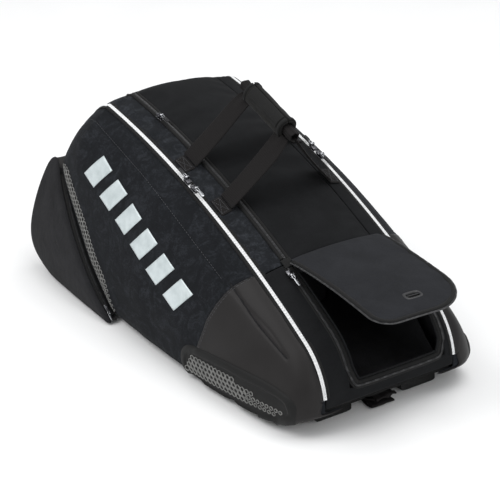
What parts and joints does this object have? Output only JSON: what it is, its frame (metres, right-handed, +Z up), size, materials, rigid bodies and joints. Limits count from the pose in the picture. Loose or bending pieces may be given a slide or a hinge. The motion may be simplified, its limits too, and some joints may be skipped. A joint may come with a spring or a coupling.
{
  "type": "racket tournament bag",
  "caption": "Wedge-shaped racket bag lying on its back panel, with side compartments, shoe tunnel under an end flap, carry handles and shoulder straps.",
  "frame": {"origin": "bottom centre of the bounding box, on the ground, with the shoe flap standing open", "axes": "+X along the bag towards the narrow shoe end, +Y towards the far compartment, +Z up"},
  "size_m": [0.819, 0.4774, 0.4235],
  "materials": {
    "side_fabric": "heather print polyester, dark navy and charcoal",
    "top_fabric": "black ripstop polyester",
    "strip_fabric": "blue-grey heather polyester",
    "lining": "grey lining",
    "coated_panel": "matte coated fabric",
    "print_grey": "raised light grey print",
    "silver_print": "silver raised print",
    "zip_white": "white coil",
    "zip_black": "black coil",
    "webbing": "black webbing",
    "pad": "padded black mesh",
    "metal": "nickel plated",
    "moulded": "black moulded nylon"
  },
  "bodies": {
    "bag": {"base_panel": "pad", "wide_end_panel": "top_fabric", "nose_panel": "top_fabric", "near_top_strip": "strip_fabric", "far_top_strip": "top_fabric", "shoe_tunnel": "lining", "near_floor_panel": "top_fabric", "far_floor_panel": "top_fabric", "near_divider": "lining", "far_divider": "lining", "near_zip_inner_chain": "zip_white", "far_zip_inner_chain": "zip_white", "near_handle_anchors": "webbing", "far_handle_anchors": "webbing", "near_shoulder_strap": "pad", "far_shoulder_strap": "pad", "centre_zip_strip_chain": "zip_black", "strap_lower_webbings": "webbing", "ladder_locks": "moulded", "webbing_hank": "webbing"},
    "near_cover": {"near_side_cover": "side_fabric", "near_corner_panel": "coated_panel", "near_honeycomb_patch": "print_grey", "near_perforated_strip": "print_grey", "near_side_emblem": "silver_print", "near_pocket_shell": "coated_panel", "near_zip_outer_chain": "zip_white"},
    "near_pocket_face": {"near_pocket_face": "coated_panel"},
    "near_pocket_slider": {"near_pocket_slider": "metal"},
    "near_handle": {"near_handle_webbing": "webbing", "near_grip_pad": "pad"},
    "far_cover": {"far_side_cover": "side_fabric", "far_corner_panel": "coated_panel", "far_honeycomb_patch": "print_grey", "far_perforated_strip": "print_grey", "far_side_emblem": "silver_print", "far_pocket_shell": "coated_panel", "far_zip_outer_chain": "zip_white"},
    "far_pocket_face": {"far_pocket_face": "coated_panel"},
    "far_pocket_slider": {"far_pocket_slider": "metal"},
    "far_handle": {"far_handle_webbing": "webbing", "far_grip_pad": "pad"},
    "centre_lid": {"centre_lid": "top_fabric", "centre_zip_lid_chain": "zip_black"},
    "shoe_flap": {"shoe_flap": "top_fabric", "flap_binding": "webbing", "vent_eyelet": "moulded"},
    "near_left_slider": {"near_left_slider": "metal"},
    "near_left_pull": {"near_left_pull": "metal"},
    "near_right_slider": {"near_right_slider": "metal"},
    "near_right_pull": {"near_right_pull": "metal"},
    "far_left_slider": {"far_left_slider": "metal"},
    "far_left_pull": {"far_left_pull": "metal"},
    "far_right_slider": {"far_right_slider": "metal"},
    "far_right_pull": {"far_right_pull": "metal"},
    "centre_slider": {"centre_slider": "metal"},
    "centre_pull": {"centre_pull": "metal"},
    "shoe_slider": {"shoe_slider": "metal"},
    "shoe_pull": {"shoe_pull": "metal"}
  },
  "joints": [
    {"name": "near_cover_open", "type": "hinge", "parent": "bag", "child": "near_cover", "pos_m": [-0.0405, -0.221, 0], "axis": [1, 0, 0], "range_deg": [0, 50]},
    {"name": "near_pocket_open", "type": "hinge", "parent": "near_cover", "child": "near_pocket_face", "pos_m": [-0.4115, -0.239, 0.1], "axis": [0, 0, -1], "range_deg": [0, 40]},
    {"name": "near_pocket_zip", "type": "slide", "parent": "near_cover", "child": "near_pocket_slider", "axis": [-0.7702, 0.085, 0.6321], "range_m": [0, 0.2]},
    {"name": "far_cover_open", "type": "hinge", "parent": "bag", "child": "far_cover", "pos_m": [-0.0405, 0.221, 0], "axis": [-1, 0, 0], "range_deg": [0, 50]},
    {"name": "far_pocket_open", "type": "hinge", "parent": "far_cover", "child": "far_pocket_face", "pos_m": [-0.4115, 0.239, 0.1], "axis": [0, 0, 1], "range_deg": [0, 40]},
    {"name": "far_pocket_zip", "type": "slide", "parent": "far_cover", "child": "far_pocket_slider", "axis": [-0.7702, -0.085, 0.6321], "range_m": [0, 0.2]},
    {"name": "near_handle_swing", "type": "hinge", "parent": "bag", "child": "near_handle", "pos_m": [-0.0285, -0.097, 0.27592], "axis": [0.9602, 0, -0.2792], "range_deg": [0, 100]},
    {"name": "far_handle_swing", "type": "hinge", "parent": "bag", "child": "far_handle", "pos_m": [-0.0285, 0.097, 0.27592], "axis": [-0.9602, 0, 0.2792], "range_deg": [0, 100]},
    {"name": "centre_lid_gape", "type": "hinge", "parent": "bag", "child": "centre_lid", "pos_m": [-0.0805, 0.09415, 0.29061], "axis": [-0.9689, 0, 0.2474], "range_deg": [0, 7]},
    {"name": "shoe_flap_fold", "type": "hinge", "parent": "bag", "child": "shoe_flap", "pos_m": [0.1735, 0, 0.211], "axis": [0, 1, 0], "range_deg": [-70, 39]},
    {"name": "near_left_travel", "type": "hinge", "parent": "bag", "child": "near_left_slider", "pos_m": [-0.4855, -0.1241, -1.305], "axis": [0, 1, 0], "range_deg": [-6.4, 0]},
    {"name": "near_left_pull_lift", "type": "hinge", "parent": "near_left_slider", "child": "near_left_pull", "pos_m": [-0.04915, -0.1241, 0.28336], "axis": [0, 1, 0], "range_deg": [0, 85]},
    {"name": "near_right_travel", "type": "hinge", "parent": "bag", "child": "near_right_slider", "pos_m": [-0.4855, -0.1241, -1.305], "axis": [0, 1, 0], "range_deg": [0, 11.2]},
    {"name": "near_right_pull_lift", "type": "hinge", "parent": "near_right_slider", "child": "near_right_pull", "pos_m": [-0.02028, -0.1241, 0.27514], "axis": [0, -1, 0], "range_deg": [0, 85]},
    {"name": "far_left_travel", "type": "hinge", "parent": "bag", "child": "far_left_slider", "pos_m": [-0.4855, 0.1241, -1.305], "axis": [0, 1, 0], "range_deg": [-6.4, 0]},
    {"name": "far_left_pull_lift", "type": "hinge", "parent": "far_left_slider", "child": "far_left_pull", "pos_m": [-0.04915, 0.1241, 0.28336], "axis": [0, 1, 0], "range_deg": [0, 85]},
    {"name": "far_right_travel", "type": "hinge", "parent": "bag", "child": "far_right_slider", "pos_m": [-0.4855, 0.1241, -1.305], "axis": [0, 1, 0], "range_deg": [0, 11.2]},
    {"name": "far_right_pull_lift", "type": "hinge", "parent": "far_right_slider", "child": "far_right_pull", "pos_m": [-0.02028, 0.1241, 0.27514], "axis": [0, -1, 0], "range_deg": [0, 85]},
    {"name": "centre_travel", "type": "hinge", "parent": "bag", "child": "centre_slider", "pos_m": [-0.4855, -0.078, -1.305], "axis": [0, 1, 0], "range_deg": [-2.3, 13.1]},
    {"name": "centre_pull_lift", "type": "hinge", "parent": "centre_slider", "child": "centre_pull", "pos_m": [-0.20534, -0.078, 0.3272], "axis": [0, -1, 0], "range_deg": [0, 85]},
    {"name": "shoe_travel", "type": "hinge", "parent": "bag", "child": "shoe_slider", "pos_m": [-0.4855, -0.084, -1.305], "axis": [0, 1, 0], "range_deg": [0, 3.4]},
    {"name": "shoe_pull_lift", "type": "hinge", "parent": "shoe_slider", "child": "shoe_pull", "pos_m": [0.19488, -0.084, 0.20012], "axis": [0, -1, 0], "range_deg": [0, 85]}
  ]
}
